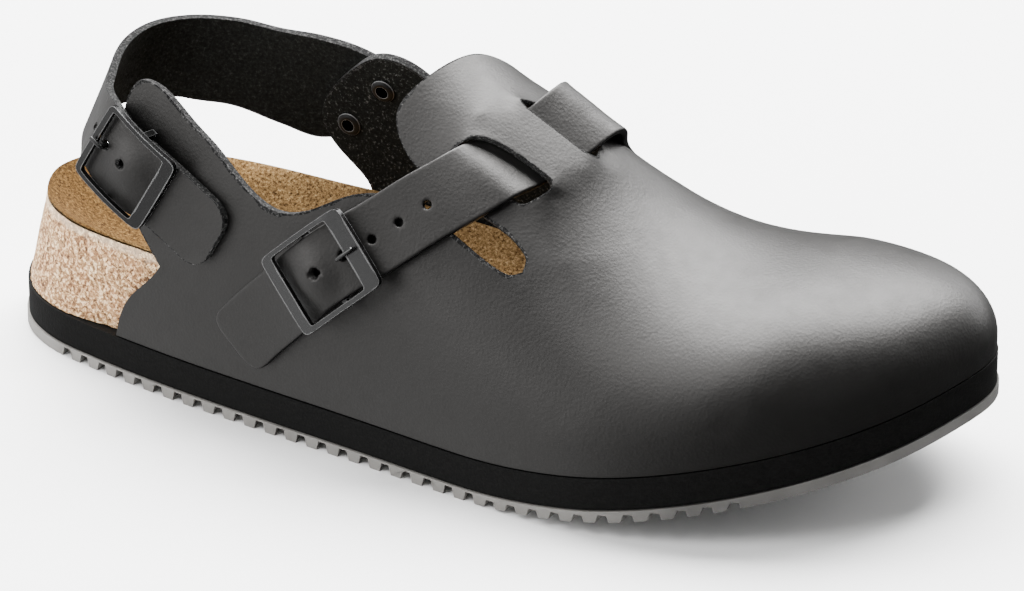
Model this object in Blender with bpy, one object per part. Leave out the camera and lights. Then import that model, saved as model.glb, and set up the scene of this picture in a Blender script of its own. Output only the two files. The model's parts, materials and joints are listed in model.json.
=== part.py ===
# Back-strap clog for the right foot, standing on its sole
# Metres, +Z up, toe towards +X, inner side of the foot towards +Y

import math
from collections import namedtuple

import bpy
from mathutils import Vector
from mathutils.geometry import delaunay_2d_cdt

# Named sizes, in metres
LENGTH = 0.285
BALL_WIDTH = 0.1055
INSTEP_HEIGHT = 0.097
TOE_SPRING = 0.0255
HEEL_BEVEL = 0.0015
OUTSOLE = 0.0033
GROOVE_DEPTH = 0.0021
GROOVE_PITCH = 0.0068
GROOVE_MOUTH = 0.0037
GROOVE_ROOF = 0.0023
GROOVE_ZIGZAG = 0.0012
MIDSOLE = 0.0092
RIM_HEIGHT = 0.040
LINING = 0.001
UPPER_LEATHER = 0.0024
STRAP_LEATHER = 0.0022
STRAP_WIDTH = 0.0200
HEEL_STRAP_WIDTH = 0.0215
BRIDGE_LIFT = 0.0020
INSTEP_BUCKLE_LENGTH = 0.0300
HEEL_BUCKLE_LENGTH = 0.0265
BUCKLE_BAR = 0.0014
BUCKLE_BOW = 0.0013
BUCKLE_PLATE_BAR = 0.0039
BUCKLE_THICKNESS = 0.0018
PRONG_RADIUS = 0.00065
HOLE_RADIUS = 0.0012
HOLE_PITCH = 0.0090
RIVET_BARREL = 0.0017
RIVET_BORE = 0.0010
RIVET_FLANGE = 0.0036
RIVET_SHEET = 0.0006
GAP = 0.0003

# Number of cross grooves, and how finely each sheet is divided
GROOVES = 32
OUTLINE_STEPS = 5
UPPER_STEP = 0.0062
SOLE_STEP = 0.0130
BED_STEP = 0.0095
STRAP_STEP = 0.0033
BUCKLE_STEP = 0.0036

# Sole outline, a row per point: share of length, share of ball width
Plan = namedtuple("Plan", "along side")
SOLE_OUTLINE = (
    Plan(0.000, 0.028),
    Plan(0.021, -0.142),
    Plan(0.063, -0.232),
    Plan(0.133, -0.294),
    Plan(0.228, -0.351),
    Plan(0.333, -0.398),
    Plan(0.439, -0.441),
    Plan(0.544, -0.488),
    Plan(0.632, -0.521),
    Plan(0.702, -0.526),
    Plan(0.772, -0.488),
    Plan(0.842, -0.412),
    Plan(0.902, -0.308),
    Plan(0.951, -0.171),
    Plan(0.986, 0.009),
    Plan(1.000, 0.152),
    Plan(0.989, 0.265),
    Plan(0.958, 0.365),
    Plan(0.905, 0.431),
    Plan(0.835, 0.464),
    Plan(0.754, 0.474),
    Plan(0.667, 0.455),
    Plan(0.579, 0.412),
    Plan(0.491, 0.360),
    Plan(0.404, 0.327),
    Plan(0.316, 0.318),
    Plan(0.218, 0.327),
    Plan(0.133, 0.322),
    Plan(0.063, 0.275),
    Plan(0.021, 0.185),
)

# Cross sections of the upper, a row per section: share of length, ridge side as a share of
# ball width, ridge height as a share of instep height, fullness of the side and of the top,
# and how far the side swells past the sole
Section = namedtuple("Section", "along ridge_side ridge side_fullness top_fullness swell")
SECTIONS = (
    Section(0.105, 0.000, 1.247, 0.62, 0.62, 0.00),
    Section(0.211, 0.004, 1.237, 0.61, 0.61, 0.00),
    Section(0.281, 0.007, 1.222, 0.61, 0.61, 0.005),
    Section(0.351, 0.009, 1.186, 0.60, 0.60, 0.01),
    Section(0.421, 0.028, 1.129, 0.58, 0.58, 0.015),
    Section(0.474, 0.043, 1.067, 0.565, 0.565, 0.02),
    Section(0.526, 0.052, 1.000, 0.55, 0.55, 0.025),
    Section(0.579, 0.059, 0.907, 0.555, 0.525, 0.03),
    Section(0.632, 0.066, 0.806, 0.565, 0.50, 0.03),
    Section(0.684, 0.071, 0.711, 0.575, 0.51, 0.03),
    Section(0.737, 0.076, 0.656, 0.60, 0.54, 0.035),
    Section(0.789, 0.081, 0.637, 0.66, 0.60, 0.05),
    Section(0.842, 0.085, 0.645, 0.72, 0.66, 0.06),
)
TOE_CENTRE = 0.842
ARC = 0.263

# Open edge of the upper from the medial corner at the sole over the throat to the lateral
# corner, a row per point: share of length, share of the half arc (1 is the sole, 0 the ridge)
Edge = namedtuple("Edge", "along around")
OPEN_EDGE = (
    Edge(0.281, 1.000),
    Edge(0.288, 0.965),
    Edge(0.309, 0.911),
    Edge(0.326, 0.867),
    Edge(0.325, 0.831),
    Edge(0.309, 0.805),
    Edge(0.288, 0.777),
    Edge(0.274, 0.741),
    Edge(0.272, 0.701),
    Edge(0.284, 0.648),
    Edge(0.304, 0.597),
    Edge(0.323, 0.547),
    Edge(0.340, 0.507),
    Edge(0.361, 0.488),
    Edge(0.382, 0.491),
    Edge(0.400, 0.517),
    Edge(0.418, 0.560),
    Edge(0.439, 0.579),
    Edge(0.461, 0.553),
    Edge(0.481, 0.493),
    Edge(0.496, 0.413),
    Edge(0.505, 0.320),
    Edge(0.504, 0.227),
    Edge(0.495, 0.133),
    Edge(0.482, 0.040),
    Edge(0.470, -0.067),
    Edge(0.460, -0.160),
    Edge(0.449, -0.253),
    Edge(0.441, -0.320),
    Edge(0.447, -0.373),
    Edge(0.463, -0.417),
    Edge(0.488, -0.437),
    Edge(0.519, -0.443),
    Edge(0.554, -0.443),
    Edge(0.586, -0.445),
    Edge(0.599, -0.467),
    Edge(0.599, -0.507),
    Edge(0.588, -0.536),
    Edge(0.565, -0.539),
    Edge(0.526, -0.525),
    Edge(0.484, -0.517),
    Edge(0.460, -0.523),
    Edge(0.439, -0.544),
    Edge(0.414, -0.580),
    Edge(0.389, -0.627),
    Edge(0.365, -0.664),
    Edge(0.344, -0.683),
    Edge(0.323, -0.677),
    Edge(0.295, -0.648),
    Edge(0.267, -0.605),
    Edge(0.239, -0.573),
    Edge(0.212, -0.533),
    Edge(0.195, -0.511),
    Edge(0.175, -0.512),
    Edge(0.163, -0.547),
    Edge(0.158, -0.600),
    Edge(0.158, -0.680),
    Edge(0.165, -0.747),
    Edge(0.179, -0.800),
    Edge(0.196, -0.831),
    Edge(0.210, -0.859),
    Edge(0.200, -0.885),
    Edge(0.179, -0.915),
    Edge(0.161, -0.949),
    Edge(0.154, -1.000),
)

# The two slits that the instep strap goes through, closed loops in the same shares
NEAR_SLIT = (
    Edge(0.503, -0.360),
    Edge(0.523, -0.363),
    Edge(0.547, -0.363),
    Edge(0.568, -0.360),
    Edge(0.580, -0.349),
    Edge(0.589, -0.309),
    Edge(0.596, -0.265),
    Edge(0.593, -0.243),
    Edge(0.580, -0.241),
    Edge(0.561, -0.243),
    Edge(0.541, -0.251),
    Edge(0.525, -0.261),
    Edge(0.514, -0.285),
    Edge(0.506, -0.323),
)
FAR_SLIT = (
    Edge(0.537, -0.088),
    Edge(0.543, -0.101),
    Edge(0.561, -0.099),
    Edge(0.582, -0.097),
    Edge(0.602, -0.096),
    Edge(0.613, -0.080),
    Edge(0.619, -0.045),
    Edge(0.618, -0.013),
    Edge(0.607, 0.007),
    Edge(0.586, 0.009),
    Edge(0.561, 0.005),
    Edge(0.547, -0.011),
    Edge(0.540, -0.045),
)

# Bridge between the slits: its middle, where its rise starts and ends, and the rise's width
Bridge = namedtuple("Bridge", "along around near_start far_end rise")
BRIDGE = Bridge(0.556, -0.253, -0.327, -0.020, 0.060)
BRIDGE_SLANT = 0.019 / 0.147
BRIDGE_FLAT = 0.040
BRIDGE_FADE = 0.025

# Middle line of the instep strap from its tail to the medial sole edge
INSTEP_LINE = (
    Edge(0.304, -0.941),
    Edge(0.333, -0.885),
    Edge(0.365, -0.824),
    Edge(0.398, -0.752),
    Edge(0.425, -0.693),
    Edge(0.450, -0.636),
    Edge(0.471, -0.579),
    Edge(0.494, -0.509),
    Edge(0.516, -0.439),
    Edge(0.535, -0.363),
    Edge(0.550, -0.288),
    Edge(0.564, -0.197),
    Edge(0.573, -0.104),
    Edge(0.580, 0.000),
    Edge(0.582, 0.107),
    Edge(0.584, 0.240),
    Edge(0.584, 0.400),
    Edge(0.584, 0.560),
    Edge(0.584, 0.747),
    Edge(0.584, 0.967),
)

# Lift of the strap off the upper across the bridge: share of the half arc, lift in leathers
Lift = namedtuple("Lift", "around lift")
INSTEP_LIFT = (
    Lift(-1.00, 0.16),
    Lift(-0.400, 0.16),
    Lift(-0.357, 0.15),
    Lift(-0.272, -1.36),
    Lift(-0.187, -1.37),
    Lift(-0.107, -1.36),
    Lift(-0.011, 0.30),
    Lift(0.040, 1.15),
    Lift(0.080, 1.75),
    Lift(0.115, 1.98),
    Lift(0.144, 1.66),
    Lift(0.173, 0.98),
    Lift(0.208, 0.44),
    Lift(0.253, 0.26),
    Lift(0.427, 0.24),
    Lift(0.587, 0.22),
    Lift(1.00, 0.16),
)

# Middle line of the heel strap where it lies on the ears: shares as above, lift in leathers,
# and the share of the strap width
Lie = namedtuple("Lie", "along around lift width")
LATERAL_LIE = (
    Lie(0.280, -0.781, 0.16, 1.00),
    Lie(0.247, -0.752, 0.16, 1.00),
    Lie(0.216, -0.723, 0.50, 1.00),
    Lie(0.186, -0.693, 1.20, 1.00),
    Lie(0.161, -0.672, 1.25, 1.00),
    Lie(0.142, -0.651, 0.60, 1.00),
)
MEDIAL_LIE = (
    Lie(0.274, 0.659, 0.45, 1.46),
    Lie(0.309, 0.651, 0.32, 1.38),
    Lie(0.344, 0.672, 0.32, 1.34),
    Lie(0.375, 0.699, 0.32, 1.28),
)
# Free part of the heel strap: shares of length, ball width and instep height, lean of the top
Free = namedtuple("Free", "along side height lean width")
FREE_LINE = (
    Free(0.123, -0.199, 0.744, 0.36, 1.00),
    Free(0.111, -0.129, 0.757, 0.42, 1.00),
    Free(0.103, -0.042, 0.771, 0.36, 1.00),
    Free(0.103, 0.047, 0.775, 0.24, 1.04),
    Free(0.114, 0.131, 0.775, 0.14, 1.10),
    Free(0.138, 0.199, 0.767, 0.08, 1.18),
    Free(0.175, 0.245, 0.746, 0.05, 1.33),
    Free(0.221, 0.269, 0.713, 0.06, 1.48),
)

# Footbed, a row per section: share of length, rim height and bed height above the midsole as
# shares of the rim height, inset of the rim from the sole outline as a share of ball width
Bed = namedtuple("Bed", "along rim bed inset")
BED_SECTIONS = (
    Bed(0.00, 0.66, 0.40, 0.066),
    Bed(0.028, 0.66, 0.32, 0.062),
    Bed(0.105, 0.66, 0.29, 0.046),
    Bed(0.211, 0.68, 0.29, 0.044),
    Bed(0.333, 0.68, 0.33, 0.046),
    Bed(0.439, 0.58, 0.33, 0.048),
    Bed(0.561, 0.42, 0.25, 0.053),
    Bed(0.702, 0.33, 0.17, 0.056),
    Bed(0.842, 0.30, 0.15, 0.058),
    Bed(1.00, 0.30, 0.17, 0.060),
)

# Middles of the two buckles, and the far bar of each
INSTEP_BUCKLE = Edge(0.408, -0.733)
HEEL_BUCKLE = Free(0.181, -0.303, 0.701, 0.0, 1.0)
INSTEP_FAR_BAR = 0.0050
HEEL_FAR_BAR = 0.0021
STRAP_HUMP = 0.0035
STRAP_HUMP_REACH = 0.0112
RIVETS = (("front_rivet", 0.346, 0.600), ("rear_rivet", 0.304, 0.715))

# Plain helpers: curves, tables and fills


def column(rows, key, name, at):
    """Smooth value of one column of a table at a given value of its key column"""
    xs = [getattr(row, key) for row in rows]
    ys = [getattr(row, name) for row in rows]
    if at <= xs[0]:
        return ys[0]
    if at >= xs[-1]:
        return ys[-1]
    slopes = [(b - a) / (q - p) for p, q, a, b in zip(xs, xs[1:], ys, ys[1:])]
    i = max(j for j in range(len(xs) - 1) if xs[j] <= at)

    def bend(j):
        if j in (0, len(xs) - 1):
            return slopes[min(j, len(slopes) - 1)]
        before, after = slopes[j - 1], slopes[j]
        if before * after <= 0:
            return 0.0
        return 2 * before * after / (before + after)

    width = xs[i + 1] - xs[i]
    t = (at - xs[i]) / width
    near = (2 * t**3 - 3 * t**2 + 1) * ys[i] + (t**3 - 2 * t**2 + t) * width * bend(i)
    far = (3 * t**2 - 2 * t**3) * ys[i + 1] + (t**3 - t**2) * width * bend(i + 1)
    return near + far


def smooth(t):
    t = min(1.0, max(0.0, t))
    return t * t * (3 - 2 * t)


def between(points, i, t, closed):
    """Point at share t of the span after point i, on a curve through all the points"""
    count = len(points)
    if closed:
        p = [points[(i + k) % count] for k in (-1, 0, 1, 2)]
    else:
        p = [points[min(count - 1, max(0, i + k))] for k in (-1, 0, 1, 2)]
    knots = [0.0]
    for a, b in zip(p, p[1:]):
        knots.append(knots[-1] + max(1e-7, (b - a).length ** 0.5))
    at = knots[1] + (knots[2] - knots[1]) * t

    def mix(a, b, ka, kb):
        return a * ((kb - at) / (kb - ka)) + b * ((at - ka) / (kb - ka))

    a1 = mix(p[0], p[1], knots[0], knots[1]) if p[0] != p[1] else p[1].copy()
    a2 = mix(p[1], p[2], knots[1], knots[2])
    a3 = mix(p[2], p[3], knots[2], knots[3]) if p[2] != p[3] else p[2].copy()
    b1 = mix(a1, a2, knots[0], knots[2])
    b2 = mix(a2, a3, knots[1], knots[3])
    return mix(b1, b2, knots[1], knots[2])


def curve(points, step, closed):
    """Curve through the points, with each span cut into pieces about a step long"""
    made = []
    spans = len(points) if closed else len(points) - 1
    for i in range(spans):
        length = (points[(i + 1) % len(points)] - points[i]).length
        pieces = max(1, round(length / step))
        made += [between(points, i, k / pieces, closed) for k in range(pieces)]
    if not closed:
        made.append(points[-1].copy())
    return made


def inside(point, loop):
    """Whether a flat point is inside a closed loop"""
    found = False
    for a, b in zip(loop, loop[1:] + loop[:1]):
        if (a.y > point.y) != (b.y > point.y):
            if point.x < (b.x - a.x) * (point.y - a.y) / (b.y - a.y) + a.x:
                found = not found
    return found


def clearance(point, loops):
    """Distance from a flat point to the nearest loop side"""
    best = 1e9
    for loop in loops:
        for a, b in zip(loop, loop[1:] + loop[:1]):
            side = b - a
            t = min(1.0, max(0.0, (point - a).dot(side) / max(1e-18, side.length_squared)))
            best = min(best, (point - a - side * t).length)
    return best


def fill(loops, step, extra=()):
    """Flat points and triangles that fill the first loop less the others"""
    points = [p for loop in loops for p in loop]
    edges = []
    start = 0
    for loop in loops:
        edges += [(start + k, start + (k + 1) % len(loop)) for k in range(len(loop))]
        start += len(loop)
    low = Vector((min(p.x for p in loops[0]), min(p.y for p in loops[0])))
    high = Vector((max(p.x for p in loops[0]), max(p.y for p in loops[0])))
    rows = int((high.y - low.y) / (step * 0.866)) + 1
    for j in range(rows + 1):
        for i in range(int((high.x - low.x) / step) + 2):
            spot = low + Vector(((i + 0.5 * (j % 2)) * step, j * step * 0.866))
            if clearance(spot, loops) < step * 0.6 or not inside(spot, loops[0]):
                continue
            if not any(inside(spot, hole) for hole in loops[1:]):
                points.append(spot)
    points += list(extra)
    result = delaunay_2d_cdt(points, edges, [], 0, 1e-7)
    flat = [Vector(p) for p in result[0]]
    kept = []
    for face in result[2]:
        middle = sum((flat[k] for k in face), Vector((0, 0))) / 3
        if inside(middle, loops[0]) and not any(inside(middle, h) for h in loops[1:]):
            kept.append(tuple(face))
    return flat, kept


def material(name, colour, roughness, metallic=0.0):
    made = bpy.data.materials.new(name)
    made.use_nodes = True
    shader = made.node_tree.nodes["Principled BSDF"]
    shader.inputs["Base Color"].default_value = (*colour, 1.0)
    shader.inputs["Roughness"].default_value = roughness
    shader.inputs["Metallic"].default_value = metallic
    return made


def solid(name, points, faces, look):
    """Mesh object from points and faces, with its faces turned outwards"""
    mesh = bpy.data.meshes.new(name)
    mesh.from_pydata([tuple(p) for p in points], [], faces)
    mesh.update()
    if sum((f.center - points[0]).dot(f.normal) * f.area for f in mesh.polygons) < 0:
        mesh.flip_normals()
    made = bpy.data.objects.new(name, mesh)
    bpy.context.scene.collection.objects.link(made)
    if look:
        mesh.materials.append(look)
    return made


def sheet(name, loops, step, low, high, look, extra=()):
    """Closed solid between two faces over the same flat fill"""
    flat, faces = fill(loops, step, extra)
    count = len(flat)
    points = [low(p.x, p.y) for p in flat] + [high(p.x, p.y) for p in flat]
    normal = Vector((0, 0, 0))
    for a, b, c in faces:
        normal.z += (flat[b] - flat[a]).cross(flat[c] - flat[a])
    if normal.z < 0:
        faces = [face[::-1] for face in faces]
    sides = {}
    for a, b, c in faces:
        for edge in ((a, b), (b, c), (c, a)):
            sides[edge] = True
    walls = [(b, a, a + count, b + count) for a, b in sides if (b, a) not in sides]
    walls = [(a, b, c, d) for b, a, d, c in walls]
    made = [face[::-1] for face in faces]
    made += [tuple(k + count for k in face) for face in faces]
    made += walls
    return solid(name, points, made, look)


def cut(target, cutter, operation="DIFFERENCE"):
    """Boolean on the target, and the cutter is removed"""
    modifier = target.modifiers.new("cut", "BOOLEAN")
    modifier.operation = operation
    modifier.solver = "EXACT"
    modifier.object = cutter
    cutter.hide_render = True
    cutter.display_type = "WIRE"
    bpy.context.view_layer.update()
    graph = bpy.context.evaluated_depsgraph_get()
    mesh = bpy.data.meshes.new_from_object(target.evaluated_get(graph))
    target.modifiers.clear()
    target.data = mesh
    bpy.data.objects.remove(cutter, do_unlink=True)


# Sole outline and the heights of the layers

OUTLINE_POINTS = [Vector((row.along * LENGTH, row.side * BALL_WIDTH)) for row in SOLE_OUTLINE]


def sole_outline(inset, steps=OUTLINE_STEPS):
    """Closed sole outline, moved inwards by an inset that may change along the sole"""
    count = len(OUTLINE_POINTS)
    fine = []
    for i in range(count):
        fine += [between(OUTLINE_POINTS, i, k / steps, True) for k in range(steps)]
    made = []
    for k, point in enumerate(fine):
        along = fine[(k + 1) % len(fine)] - fine[k - 1]
        inwards = Vector((-along.y, along.x)).normalized()
        amount = inset(point.x) if callable(inset) else inset
        made.append(point + inwards * amount)
    return made


FINE_OUTLINE = sole_outline(0.0, 10)
TIP = max(range(len(FINE_OUTLINE)), key=lambda k: FINE_OUTLINE[k].x)
TAIL = min(range(len(FINE_OUTLINE)), key=lambda k: FINE_OUTLINE[k].x)


def half_outline(step):
    """Outline from the tail to the tip, going round by the given step"""
    made = [FINE_OUTLINE[TAIL]]
    k = TAIL
    while k != TIP:
        k = (k + step) % len(FINE_OUTLINE)
        made.append(FINE_OUTLINE[k])
    return made


LATERAL_SIDE = half_outline(1)
MEDIAL_SIDE = half_outline(-1)


def side_at(points, x):
    """Side distance of a half outline at a length"""
    for a, b in zip(points, points[1:]):
        if a.x <= x <= b.x:
            return a.y + (b.y - a.y) * (x - a.x) / max(1e-9, b.x - a.x)
    return points[-1].y if x > points[-1].x else points[0].y


def spring(x):
    """Rise of the sole's underside: toe spring, and the worn-look bevel at the heel"""
    share = x / LENGTH
    toe = TOE_SPRING * max(0.0, (share - 0.561) / 0.439) ** 1.55
    heel = HEEL_BEVEL * max(0.0, (0.077 - share) / 0.077) ** 2
    return toe + heel


MIDSOLE_TOP = OUTSOLE + GAP + MIDSOLE
UPPER_INSET = 0.0008


# Surface of the last under the upper, from pattern shares to a point


def section_curve(along, q):
    """Side share and height share of a section at share q of its half arc"""
    side = column(SECTIONS, "along", "side_fullness", along)
    top = column(SECTIONS, "along", "top_fullness", along)
    swell = column(SECTIONS, "along", "swell", along)
    p = 1.0 - q
    out = 3 * p * p * q * top + 3 * p * q * q * (1 + swell) + q**3
    up = p**3 + 3 * p * p * q + 3 * p * q * q * side
    return out, up


def toe_reach(angle):
    """Distance from the toe centre to the sole outline in a direction"""
    x = TOE_CENTRE * LENGTH
    y = column(SECTIONS, "along", "ridge_side", TOE_CENTRE) * BALL_WIDTH
    direction = Vector((math.cos(angle), math.sin(angle)))
    best = 1e9
    for a, b in zip(FINE_OUTLINE, FINE_OUTLINE[1:] + FINE_OUTLINE[:1]):
        side = b - a
        start = a - Vector((x, y))
        turn = direction.x * side.y - direction.y * side.x
        if abs(turn) < 1e-12:
            continue
        t = (start.x * side.y - start.y * side.x) / turn
        u = (start.x * direction.y - start.y * direction.x) / turn
        if t > 0 and -1e-6 <= u <= 1 + 1e-6:
            best = min(best, t)
    return best - UPPER_INSET


def face_point(along, around):
    """Point of the upper's outer face before any lift"""
    if along <= TOE_CENTRE:
        x = along * LENGTH
        q = min(1.0, abs(around))
        y = column(SECTIONS, "along", "ridge_side", along) * BALL_WIDTH
        z = column(SECTIONS, "along", "ridge", along) * INSTEP_HEIGHT
        if around > 0:
            edge = side_at(MEDIAL_SIDE, x) - UPPER_INSET
        else:
            edge = side_at(LATERAL_SIDE, x) + UPPER_INSET
        out, up = section_curve(along, q)
        base = spring(x) + MIDSOLE_TOP + GAP
        return Vector((x, y + (edge - y) * out, base + (z - base) * up))
    ahead = (along - TOE_CENTRE) / ARC
    q = min(1.0, math.hypot(ahead, around))
    angle = math.atan2(around, ahead)
    reach = toe_reach(angle)
    out, up = section_curve(TOE_CENTRE, q)
    x = TOE_CENTRE * LENGTH
    y = column(SECTIONS, "along", "ridge_side", TOE_CENTRE) * BALL_WIDTH
    z = column(SECTIONS, "along", "ridge", TOE_CENTRE) * INSTEP_HEIGHT
    base = spring(x + reach * math.cos(angle)) + MIDSOLE_TOP + GAP
    flat = Vector((math.cos(angle), math.sin(angle))) * reach * out
    return Vector((x + flat.x, y + flat.y, base + (z - base) * up))


def arc_share(along, around):
    ahead = max(0.0, (along - TOE_CENTRE) / ARC)
    return min(1.0, math.hypot(ahead, around))


def face_normal(along, around):
    """Outward normal, level at the sole so that the edge stands flat on it"""
    e = 0.004
    ahead = face_point(along + e, around) - face_point(along - e, around)
    if abs(around) > 1 - e:
        around = math.copysign(1 - e, around)
    across = face_point(along, around + e) - face_point(along, around - e)
    normal = ahead.cross(across).normalized()
    normal.z *= smooth((1 - arc_share(along, around)) / 0.08)
    return normal.normalized()


def bridge_lift(along, around):
    """Lift of the bridge over the instep strap, none beyond the slits and their ends"""
    middle = BRIDGE.along + (around - BRIDGE.around) * BRIDGE_SLANT
    ends = 1 - smooth((abs(along - middle) - BRIDGE_FLAT) / BRIDGE_FADE)
    near = smooth((around - BRIDGE.near_start) / BRIDGE.rise)
    far = smooth((BRIDGE.far_end - around) / BRIDGE.rise)
    return BRIDGE_LIFT * ends * min(near, far)


def upper_point(along, around, height):
    lift = bridge_lift(along, around) + height
    return face_point(along, around) + face_normal(along, around) * lift


# Start from an empty scene

for old in list(bpy.data.objects):
    bpy.data.objects.remove(old, do_unlink=True)

black_leather = (0.022, 0.022, 0.023)
RUBBER = material("outsole_rubber", (0.42, 0.41, 0.39), 0.7)
FOAM = material("midsole_foam", (0.012, 0.012, 0.012), 0.8)
CORK = material("footbed_cork", (0.62, 0.45, 0.34), 0.85)
SUEDE = material("insole_suede", (0.42, 0.27, 0.14), 0.95)
LEATHER = material("upper_leather", black_leather, 0.42)
STRAP = material("strap_leather", black_leather, 0.45)
METAL = material("buckle_metal", (0.02, 0.02, 0.02), 0.35, 0.6)
RIVET = material("rivet_metal", (0.02, 0.02, 0.02), 0.4, 0.6)

# Outsole with its cross grooves

outsole = sheet(
    "outsole",
    [sole_outline(0.0)],
    SOLE_STEP,
    lambda x, y: Vector((x, y, spring(x))),
    lambda x, y: Vector((x, y, spring(x) + OUTSOLE)),
    RUBBER,
)


def grooves():
    """All the cross grooves as one cutter, each a zigzag channel that tapers upwards"""
    points, faces = [], []
    stations = 9
    for k in range(GROOVES):
        middle = LENGTH * 0.091 + k * GROOVE_PITCH * LENGTH / 0.285
        start = len(points)
        for j in range(stations):
            side = (j / (stations - 1) - 0.5) * 1.3 * BALL_WIDTH
            x = middle + GROOVE_ZIGZAG * (1 if j % 2 else -1)
            floor = spring(x)
            for dx, dz in (
                (GROOVE_ROOF / 2 - GROOVE_MOUTH, -GROOVE_DEPTH),
                (-GROOVE_ROOF / 2, GROOVE_DEPTH),
                (GROOVE_ROOF / 2, GROOVE_DEPTH),
                (GROOVE_MOUTH - GROOVE_ROOF / 2, -GROOVE_DEPTH),
            ):
                points.append(Vector((x + dx, side, floor + dz)))
        for j in range(stations - 1):
            a = start + 4 * j
            for i in range(4):
                b = a + (i + 1) % 4
                faces.append((a + i, b, b + 4, a + i + 4))
        faces.append((start + 3, start + 2, start + 1, start))
        last = start + 4 * (stations - 1)
        faces.append((last, last + 1, last + 2, last + 3))
    return solid("groove_cutter", points, faces, None)


cut(outsole, grooves())

# Midsole

sheet(
    "midsole",
    [sole_outline(0.0005)],
    SOLE_STEP,
    lambda x, y: Vector((x, y, spring(x) + OUTSOLE + GAP)),
    lambda x, y: Vector((x, y, spring(x) + MIDSOLE_TOP)),
    FOAM,
)

# Footbed: a wall from its foot up to the rim, and the dished bed inside the rim


def base_inset(x):
    return 0.0012 + 0.0030 * smooth((x / LENGTH - 0.08) / 0.08)


def rim_inset(x):
    return BALL_WIDTH * column(BED_SECTIONS, "along", "inset", x / LENGTH)


RIM_LOOP = sole_outline(rim_inset)


def bed_height(x, y, edge_loop, drop=0.0):
    """Height of the bed: the rim at the edge, and a smooth dish inside it"""
    rim = column(BED_SECTIONS, "along", "rim", x / LENGTH) * RIM_HEIGHT
    bed = column(BED_SECTIONS, "along", "bed", x / LENGTH) * RIM_HEIGHT
    depth = clearance(Vector((x, y)), [edge_loop])
    dish = smooth(depth / (0.17 * BALL_WIDTH))
    return spring(x) + MIDSOLE_TOP + GAP + rim + (bed - rim) * dish + drop


def footbed():
    """Cork body: level foot, leaning wall, dished top"""
    foot = sole_outline(base_inset)
    count = len(RIM_LOOP)
    flat, faces = fill([RIM_LOOP], BED_STEP)
    top = [Vector((p.x, p.y, bed_height(p.x, p.y, RIM_LOOP))) for p in flat]
    turn = sum((flat[b] - flat[a]).cross(flat[c] - flat[a]) for a, b, c in faces)
    if turn < 0:
        faces = [face[::-1] for face in faces]
    base, base_faces = fill([foot], SOLE_STEP)
    turn = sum((base[b] - base[a]).cross(base[c] - base[a]) for a, b, c in base_faces)
    if turn > 0:
        base_faces = [face[::-1] for face in base_faces]
    low = [Vector((p.x, p.y, spring(p.x) + MIDSOLE_TOP + GAP)) for p in base]
    start = len(top)
    made = list(faces) + [tuple(k + start for k in face) for face in base_faces]
    for k in range(count):
        n = (k + 1) % count
        made.append((start + k, start + n, n, k))
    return solid("footbed", top + low, made, CORK)


footbed()

sheet(
    "insole_lining",
    [RIM_LOOP],
    BED_STEP,
    lambda x, y: Vector((x, y, bed_height(x, y, RIM_LOOP, 0.0005))),
    lambda x, y: Vector((x, y, bed_height(x, y, RIM_LOOP, 0.0005 + LINING))),
    SUEDE,
)

# Upper


def pattern_loops():
    """Outline of the upper in its pattern, with the two slits, in metres of pattern"""
    scale = Vector((LENGTH, LENGTH * ARC))
    edge = [Vector((row.along * scale.x, row.around * scale.y)) for row in OPEN_EDGE]
    open_edge = curve(edge, UPPER_STEP * 0.75, False)
    first = open_edge[-1]
    last = open_edge[0]
    toe = LENGTH * TOE_CENTRE
    rim = scale.y
    sole = []
    pieces = round((toe - first.x) / UPPER_STEP)
    sole += [Vector((first.x + (toe - first.x) * k / pieces, -rim)) for k in range(1, pieces)]
    turns = round(math.pi * rim / UPPER_STEP)
    for k in range(turns + 1):
        angle = -math.pi / 2 + math.pi * k / turns
        sole.append(Vector((toe + rim * math.cos(angle), rim * math.sin(angle))))
    pieces = round((toe - last.x) / UPPER_STEP)
    sole += [Vector((toe + (last.x - toe) * k / pieces, rim)) for k in range(1, pieces)]
    loops = [open_edge + sole]
    for slit in (NEAR_SLIT, FAR_SLIT):
        points = [Vector((row.along * scale.x, row.around * scale.y)) for row in slit]
        loops.append(curve(points, UPPER_STEP * 0.6, True))
    return loops


def shares(u, v):
    """Pattern metres to the shares that the last's surface takes"""
    return u / LENGTH, v / (LENGTH * ARC)


def bridge_points():
    """More points where the bridge rises"""
    made = []
    for i in range(-5, 6):
        for j in range(3):
            around = BRIDGE.around + 0.035 + 0.041 * j
            along = BRIDGE.along + (around - BRIDGE.around) * BRIDGE_SLANT + 0.011 * i
            made.append(Vector((along * LENGTH, around * LENGTH * ARC)))
    return made


upper = sheet(
    "upper",
    pattern_loops(),
    UPPER_STEP,
    lambda u, v: upper_point(*shares(u, v), -UPPER_LEATHER),
    lambda u, v: upper_point(*shares(u, v), 0.0),
    LEATHER,
    bridge_points(),
)

# Straps, each a band: rows of points across it, joined by smooth curves

ACROSS = (-1.0, -0.5, 0.0, 0.5, 1.0)


def walk(along, around, direction, distance):
    """Pattern shares reached from a point by going that far over the surface"""
    steps = max(1, math.ceil(distance / 0.003))
    for _ in range(steps):
        e = 0.002
        ahead = (face_point(along + e, around) - face_point(along - e, around)) / (2 * e)
        across = (face_point(along, around + e) - face_point(along, around - e)) / (2 * e)
        move = direction * (distance / steps)
        aa, ac, cc = ahead.dot(ahead), ahead.dot(across), across.dot(across)
        da, dc = ahead.dot(move), across.dot(move)
        det = aa * cc - ac * ac
        along += (da * cc - dc * ac) / det
        around += (dc * aa - da * ac) / det
    return along, around


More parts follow.
